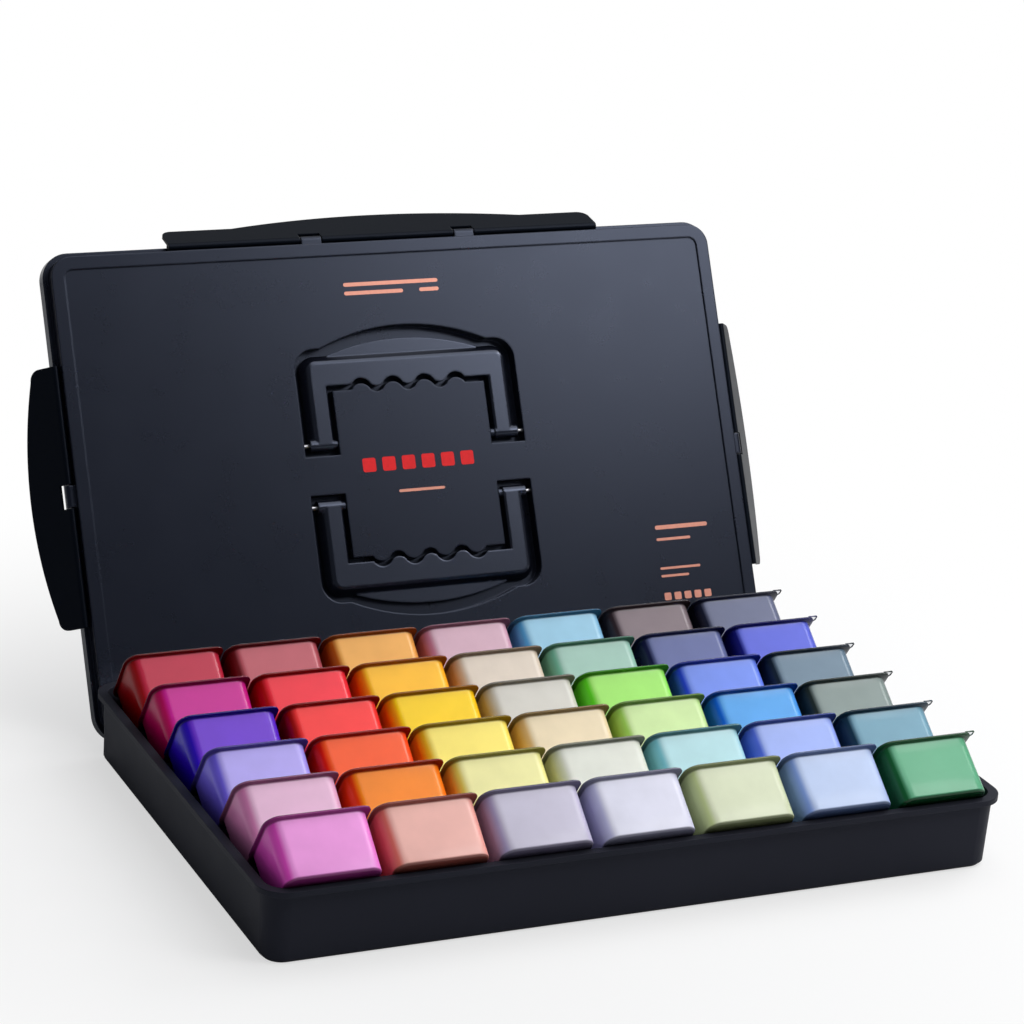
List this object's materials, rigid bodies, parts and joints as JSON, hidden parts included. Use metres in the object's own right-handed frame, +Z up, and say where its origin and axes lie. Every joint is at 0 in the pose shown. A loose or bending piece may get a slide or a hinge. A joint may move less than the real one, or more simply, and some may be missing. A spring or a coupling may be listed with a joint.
{
  "type": "paint box",
  "caption": "Shallow tray of sealed jelly paint cups in leaning rows, with its lid off and standing behind it, carrying folding handles and snap latches.",
  "frame": {"origin": "centre of the tray's flat underside", "axes": "+X to the right as seen from the front, +Y from the tray's front edge to the lid, +Z up"},
  "size_m": [0.4426, 0.4187, 0.2501],
  "materials": {
    "tray": "fine moulded satin",
    "lid": "fine moulded satin",
    "handle": "satin",
    "latch": "satin",
    "pin": "drawn wire",
    "paint_r1_c1": "smooth translucent cup full of paint",
    "paint_r1_c2": "smooth translucent cup full of paint",
    "paint_r1_c3": "smooth translucent cup full of paint",
    "paint_r1_c4": "smooth translucent cup full of paint",
    "paint_r1_c5": "smooth translucent cup full of paint",
    "paint_r1_c6": "smooth translucent cup full of paint",
    "paint_r1_c7": "smooth translucent cup full of paint",
    "paint_r2_c1": "smooth translucent cup full of paint",
    "paint_r2_c2": "smooth translucent cup full of paint",
    "paint_r2_c3": "smooth translucent cup full of paint",
    "paint_r2_c4": "smooth translucent cup full of paint",
    "paint_r2_c5": "smooth translucent cup full of paint",
    "paint_r2_c6": "smooth translucent cup full of paint",
    "paint_r2_c7": "smooth translucent cup full of paint",
    "paint_r3_c1": "smooth translucent cup full of paint",
    "paint_r3_c2": "smooth translucent cup full of paint",
    "paint_r3_c3": "smooth translucent cup full of paint",
    "paint_r3_c4": "smooth translucent cup full of paint",
    "paint_r3_c5": "smooth translucent cup full of paint",
    "paint_r3_c6": "smooth translucent cup full of paint",
    "paint_r3_c7": "smooth translucent cup full of paint",
    "paint_r4_c1": "smooth translucent cup full of paint",
    "paint_r4_c2": "smooth translucent cup full of paint",
    "paint_r4_c3": "smooth translucent cup full of paint",
    "paint_r4_c4": "smooth translucent cup full of paint",
    "paint_r4_c5": "smooth translucent cup full of paint",
    "paint_r4_c6": "smooth translucent cup full of paint",
    "paint_r4_c7": "smooth translucent cup full of paint",
    "paint_r5_c1": "smooth translucent cup full of paint",
    "paint_r5_c2": "smooth translucent cup full of paint",
    "paint_r5_c3": "smooth translucent cup full of paint",
    "paint_r5_c4": "smooth translucent cup full of paint",
    "paint_r5_c5": "smooth translucent cup full of paint",
    "paint_r5_c6": "smooth translucent cup full of paint",
    "paint_r5_c7": "smooth translucent cup full of paint",
    "paint_r6_c1": "smooth translucent cup full of paint",
    "paint_r6_c2": "smooth translucent cup full of paint",
    "paint_r6_c3": "smooth translucent cup full of paint",
    "paint_r6_c4": "smooth translucent cup full of paint",
    "paint_r6_c5": "smooth translucent cup full of paint",
    "paint_r6_c6": "smooth translucent cup full of paint",
    "paint_r6_c7": "smooth translucent cup full of paint"
  },
  "bodies": {
    "tray": {"tray": "tray"},
    "lid": {"lid": "lid", "handle_pins_upper": "pin", "handle_pins_lower": "pin", "latch_pin_top": "pin", "latch_pin_left": "pin", "latch_pin_right": "pin"},
    "handle_upper": {"handle_upper": "handle"},
    "handle_lower": {"handle_lower": "handle"},
    "latch_top": {"latch_top": "latch"},
    "latch_left": {"latch_left": "latch"},
    "latch_right": {"latch_right": "latch"},
    "paint_cup_r1_c1": {"paint_cup_r1_c1": "paint_r1_c1"},
    "paint_cup_r1_c2": {"paint_cup_r1_c2": "paint_r1_c2"},
    "paint_cup_r1_c3": {"paint_cup_r1_c3": "paint_r1_c3"},
    "paint_cup_r1_c4": {"paint_cup_r1_c4": "paint_r1_c4"},
    "paint_cup_r1_c5": {"paint_cup_r1_c5": "paint_r1_c5"},
    "paint_cup_r1_c6": {"paint_cup_r1_c6": "paint_r1_c6"},
    "paint_cup_r1_c7": {"paint_cup_r1_c7": "paint_r1_c7"},
    "paint_cup_r2_c1": {"paint_cup_r2_c1": "paint_r2_c1"},
    "paint_cup_r2_c2": {"paint_cup_r2_c2": "paint_r2_c2"},
    "paint_cup_r2_c3": {"paint_cup_r2_c3": "paint_r2_c3"},
    "paint_cup_r2_c4": {"paint_cup_r2_c4": "paint_r2_c4"},
    "paint_cup_r2_c5": {"paint_cup_r2_c5": "paint_r2_c5"},
    "paint_cup_r2_c6": {"paint_cup_r2_c6": "paint_r2_c6"},
    "paint_cup_r2_c7": {"paint_cup_r2_c7": "paint_r2_c7"},
    "paint_cup_r3_c1": {"paint_cup_r3_c1": "paint_r3_c1"},
    "paint_cup_r3_c2": {"paint_cup_r3_c2": "paint_r3_c2"},
    "paint_cup_r3_c3": {"paint_cup_r3_c3": "paint_r3_c3"},
    "paint_cup_r3_c4": {"paint_cup_r3_c4": "paint_r3_c4"},
    "paint_cup_r3_c5": {"paint_cup_r3_c5": "paint_r3_c5"},
    "paint_cup_r3_c6": {"paint_cup_r3_c6": "paint_r3_c6"},
    "paint_cup_r3_c7": {"paint_cup_r3_c7": "paint_r3_c7"},
    "paint_cup_r4_c1": {"paint_cup_r4_c1": "paint_r4_c1"},
    "paint_cup_r4_c2": {"paint_cup_r4_c2": "paint_r4_c2"},
    "paint_cup_r4_c3": {"paint_cup_r4_c3": "paint_r4_c3"},
    "paint_cup_r4_c4": {"paint_cup_r4_c4": "paint_r4_c4"},
    "paint_cup_r4_c5": {"paint_cup_r4_c5": "paint_r4_c5"},
    "paint_cup_r4_c6": {"paint_cup_r4_c6": "paint_r4_c6"},
    "paint_cup_r4_c7": {"paint_cup_r4_c7": "paint_r4_c7"},
    "paint_cup_r5_c1": {"paint_cup_r5_c1": "paint_r5_c1"},
    "paint_cup_r5_c2": {"paint_cup_r5_c2": "paint_r5_c2"},
    "paint_cup_r5_c3": {"paint_cup_r5_c3": "paint_r5_c3"},
    "paint_cup_r5_c4": {"paint_cup_r5_c4": "paint_r5_c4"},
    "paint_cup_r5_c5": {"paint_cup_r5_c5": "paint_r5_c5"},
    "paint_cup_r5_c6": {"paint_cup_r5_c6": "paint_r5_c6"},
    "paint_cup_r5_c7": {"paint_cup_r5_c7": "paint_r5_c7"},
    "paint_cup_r6_c1": {"paint_cup_r6_c1": "paint_r6_c1"},
    "paint_cup_r6_c2": {"paint_cup_r6_c2": "paint_r6_c2"},
    "paint_cup_r6_c3": {"paint_cup_r6_c3": "paint_r6_c3"},
    "paint_cup_r6_c4": {"paint_cup_r6_c4": "paint_r6_c4"},
    "paint_cup_r6_c5": {"paint_cup_r6_c5": "paint_r6_c5"},
    "paint_cup_r6_c6": {"paint_cup_r6_c6": "paint_r6_c6"},
    "paint_cup_r6_c7": {"paint_cup_r6_c7": "paint_r6_c7"}
  },
  "joints": [
    {"name": "handle_upper_fold", "type": "hinge", "parent": "lid", "child": "handle_upper", "pos_m": [0.0054, 0.20435, 0.13989], "axis": [1, 0, 0], "range_deg": [0, 90]},
    {"name": "handle_lower_fold", "type": "hinge", "parent": "lid", "child": "handle_lower", "pos_m": [0.0054, 0.18819, 0.10884], "axis": [-1, 0, 0], "range_deg": [0, 90]},
    {"name": "latch_top_snap", "type": "hinge", "parent": "lid", "child": "latch_top", "pos_m": [0.0054, 0.25913, 0.24383], "axis": [1, 0, 0], "range_deg": [-37, 83]},
    {"name": "latch_left_snap", "type": "hinge", "parent": "lid", "child": "latch_left", "pos_m": [-0.1991, 0.1968, 0.12409], "axis": [0, 0.4617, 0.887], "range_deg": [-37, 83]},
    {"name": "latch_right_snap", "type": "hinge", "parent": "lid", "child": "latch_right", "pos_m": [0.2099, 0.1968, 0.12409], "axis": [0, -0.4617, -0.887], "range_deg": [-37, 83]},
    {"name": "lid_lift", "type": "slide", "parent": "tray", "child": "lid", "axis": [0, 0.4617, 0.887], "range_m": [0, 0.25]},
    {"name": "paint_cup_r1_c1_slide", "type": "slide", "parent": "tray", "child": "paint_cup_r1_c1", "axis": [0, -0.5736, 0.8192], "range_m": [0, 0.05]},
    {"name": "paint_cup_r1_c2_slide", "type": "slide", "parent": "tray", "child": "paint_cup_r1_c2", "axis": [0, -0.5736, 0.8192], "range_m": [0, 0.05]},
    {"name": "paint_cup_r1_c3_slide", "type": "slide", "parent": "tray", "child": "paint_cup_r1_c3", "axis": [0, -0.5736, 0.8192], "range_m": [0, 0.05]},
    {"name": "paint_cup_r1_c4_slide", "type": "slide", "parent": "tray", "child": "paint_cup_r1_c4", "axis": [0, -0.5736, 0.8192], "range_m": [0, 0.05]},
    {"name": "paint_cup_r1_c5_slide", "type": "slide", "parent": "tray", "child": "paint_cup_r1_c5", "axis": [0, -0.5736, 0.8192], "range_m": [0, 0.05]},
    {"name": "paint_cup_r1_c6_slide", "type": "slide", "parent": "tray", "child": "paint_cup_r1_c6", "axis": [0, -0.5736, 0.8192], "range_m": [0, 0.05]},
    {"name": "paint_cup_r1_c7_slide", "type": "slide", "parent": "tray", "child": "paint_cup_r1_c7", "axis": [0, -0.5736, 0.8192], "range_m": [0, 0.05]},
    {"name": "paint_cup_r2_c1_slide", "type": "slide", "parent": "tray", "child": "paint_cup_r2_c1", "axis": [0, -0.5736, 0.8192], "range_m": [0, 0.05]},
    {"name": "paint_cup_r2_c2_slide", "type": "slide", "parent": "tray", "child": "paint_cup_r2_c2", "axis": [0, -0.5736, 0.8192], "range_m": [0, 0.05]},
    {"name": "paint_cup_r2_c3_slide", "type": "slide", "parent": "tray", "child": "paint_cup_r2_c3", "axis": [0, -0.5736, 0.8192], "range_m": [0, 0.05]},
    {"name": "paint_cup_r2_c4_slide", "type": "slide", "parent": "tray", "child": "paint_cup_r2_c4", "axis": [0, -0.5736, 0.8192], "range_m": [0, 0.05]},
    {"name": "paint_cup_r2_c5_slide", "type": "slide", "parent": "tray", "child": "paint_cup_r2_c5", "axis": [0, -0.5736, 0.8192], "range_m": [0, 0.05]},
    {"name": "paint_cup_r2_c6_slide", "type": "slide", "parent": "tray", "child": "paint_cup_r2_c6", "axis": [0, -0.5736, 0.8192], "range_m": [0, 0.05]},
    {"name": "paint_cup_r2_c7_slide", "type": "slide", "parent": "tray", "child": "paint_cup_r2_c7", "axis": [0, -0.5736, 0.8192], "range_m": [0, 0.05]},
    {"name": "paint_cup_r3_c1_slide", "type": "slide", "parent": "tray", "child": "paint_cup_r3_c1", "axis": [0, -0.5736, 0.8192], "range_m": [0, 0.05]},
    {"name": "paint_cup_r3_c2_slide", "type": "slide", "parent": "tray", "child": "paint_cup_r3_c2", "axis": [0, -0.5736, 0.8192], "range_m": [0, 0.05]},
    {"name": "paint_cup_r3_c3_slide", "type": "slide", "parent": "tray", "child": "paint_cup_r3_c3", "axis": [0, -0.5736, 0.8192], "range_m": [0, 0.05]},
    {"name": "paint_cup_r3_c4_slide", "type": "slide", "parent": "tray", "child": "paint_cup_r3_c4", "axis": [0, -0.5736, 0.8192], "range_m": [0, 0.05]},
    {"name": "paint_cup_r3_c5_slide", "type": "slide", "parent": "tray", "child": "paint_cup_r3_c5", "axis": [0, -0.5736, 0.8192], "range_m": [0, 0.05]},
    {"name": "paint_cup_r3_c6_slide", "type": "slide", "parent": "tray", "child": "paint_cup_r3_c6", "axis": [0, -0.5736, 0.8192], "range_m": [0, 0.05]},
    {"name": "paint_cup_r3_c7_slide", "type": "slide", "parent": "tray", "child": "paint_cup_r3_c7", "axis": [0, -0.5736, 0.8192], "range_m": [0, 0.05]},
    {"name": "paint_cup_r4_c1_slide", "type": "slide", "parent": "tray", "child": "paint_cup_r4_c1", "axis": [0, -0.5736, 0.8192], "range_m": [0, 0.05]},
    {"name": "paint_cup_r4_c2_slide", "type": "slide", "parent": "tray", "child": "paint_cup_r4_c2", "axis": [0, -0.5736, 0.8192], "range_m": [0, 0.05]},
    {"name": "paint_cup_r4_c3_slide", "type": "slide", "parent": "tray", "child": "paint_cup_r4_c3", "axis": [0, -0.5736, 0.8192], "range_m": [0, 0.05]},
    {"name": "paint_cup_r4_c4_slide", "type": "slide", "parent": "tray", "child": "paint_cup_r4_c4", "axis": [0, -0.5736, 0.8192], "range_m": [0, 0.05]},
    {"name": "paint_cup_r4_c5_slide", "type": "slide", "parent": "tray", "child": "paint_cup_r4_c5", "axis": [0, -0.5736, 0.8192], "range_m": [0, 0.05]},
    {"name": "paint_cup_r4_c6_slide", "type": "slide", "parent": "tray", "child": "paint_cup_r4_c6", "axis": [0, -0.5736, 0.8192], "range_m": [0, 0.05]},
    {"name": "paint_cup_r4_c7_slide", "type": "slide", "parent": "tray", "child": "paint_cup_r4_c7", "axis": [0, -0.5736, 0.8192], "range_m": [0, 0.05]},
    {"name": "paint_cup_r5_c1_slide", "type": "slide", "parent": "tray", "child": "paint_cup_r5_c1", "axis": [0, -0.5736, 0.8192], "range_m": [0, 0.05]},
    {"name": "paint_cup_r5_c2_slide", "type": "slide", "parent": "tray", "child": "paint_cup_r5_c2", "axis": [0, -0.5736, 0.8192], "range_m": [0, 0.05]},
    {"name": "paint_cup_r5_c3_slide", "type": "slide", "parent": "tray", "child": "paint_cup_r5_c3", "axis": [0, -0.5736, 0.8192], "range_m": [0, 0.05]},
    {"name": "paint_cup_r5_c4_slide", "type": "slide", "parent": "tray", "child": "paint_cup_r5_c4", "axis": [0, -0.5736, 0.8192], "range_m": [0, 0.05]},
    {"name": "paint_cup_r5_c5_slide", "type": "slide", "parent": "tray", "child": "paint_cup_r5_c5", "axis": [0, -0.5736, 0.8192], "range_m": [0, 0.05]},
    {"name": "paint_cup_r5_c6_slide", "type": "slide", "parent": "tray", "child": "paint_cup_r5_c6", "axis": [0, -0.5736, 0.8192], "range_m": [0, 0.05]},
    {"name": "paint_cup_r5_c7_slide", "type": "slide", "parent": "tray", "child": "paint_cup_r5_c7", "axis": [0, -0.5736, 0.8192], "range_m": [0, 0.05]},
    {"name": "paint_cup_r6_c1_slide", "type": "slide", "parent": "tray", "child": "paint_cup_r6_c1", "axis": [0, -0.5736, 0.8192], "range_m": [0, 0.05]},
    {"name": "paint_cup_r6_c2_slide", "type": "slide", "parent": "tray", "child": "paint_cup_r6_c2", "axis": [0, -0.5736, 0.8192], "range_m": [0, 0.05]},
    {"name": "paint_cup_r6_c3_slide", "type": "slide", "parent": "tray", "child": "paint_cup_r6_c3", "axis": [0, -0.5736, 0.8192], "range_m": [0, 0.05]},
    {"name": "paint_cup_r6_c4_slide", "type": "slide", "parent": "tray", "child": "paint_cup_r6_c4", "axis": [0, -0.5736, 0.8192], "range_m": [0, 0.05]},
    {"name": "paint_cup_r6_c5_slide", "type": "slide", "parent": "tray", "child": "paint_cup_r6_c5", "axis": [0, -0.5736, 0.8192], "range_m": [0, 0.05]},
    {"name": "paint_cup_r6_c6_slide", "type": "slide", "parent": "tray", "child": "paint_cup_r6_c6", "axis": [0, -0.5736, 0.8192], "range_m": [0, 0.05]},
    {"name": "paint_cup_r6_c7_slide", "type": "slide", "parent": "tray", "child": "paint_cup_r6_c7", "axis": [0, -0.5736, 0.8192], "range_m": [0, 0.05]}
  ]
}
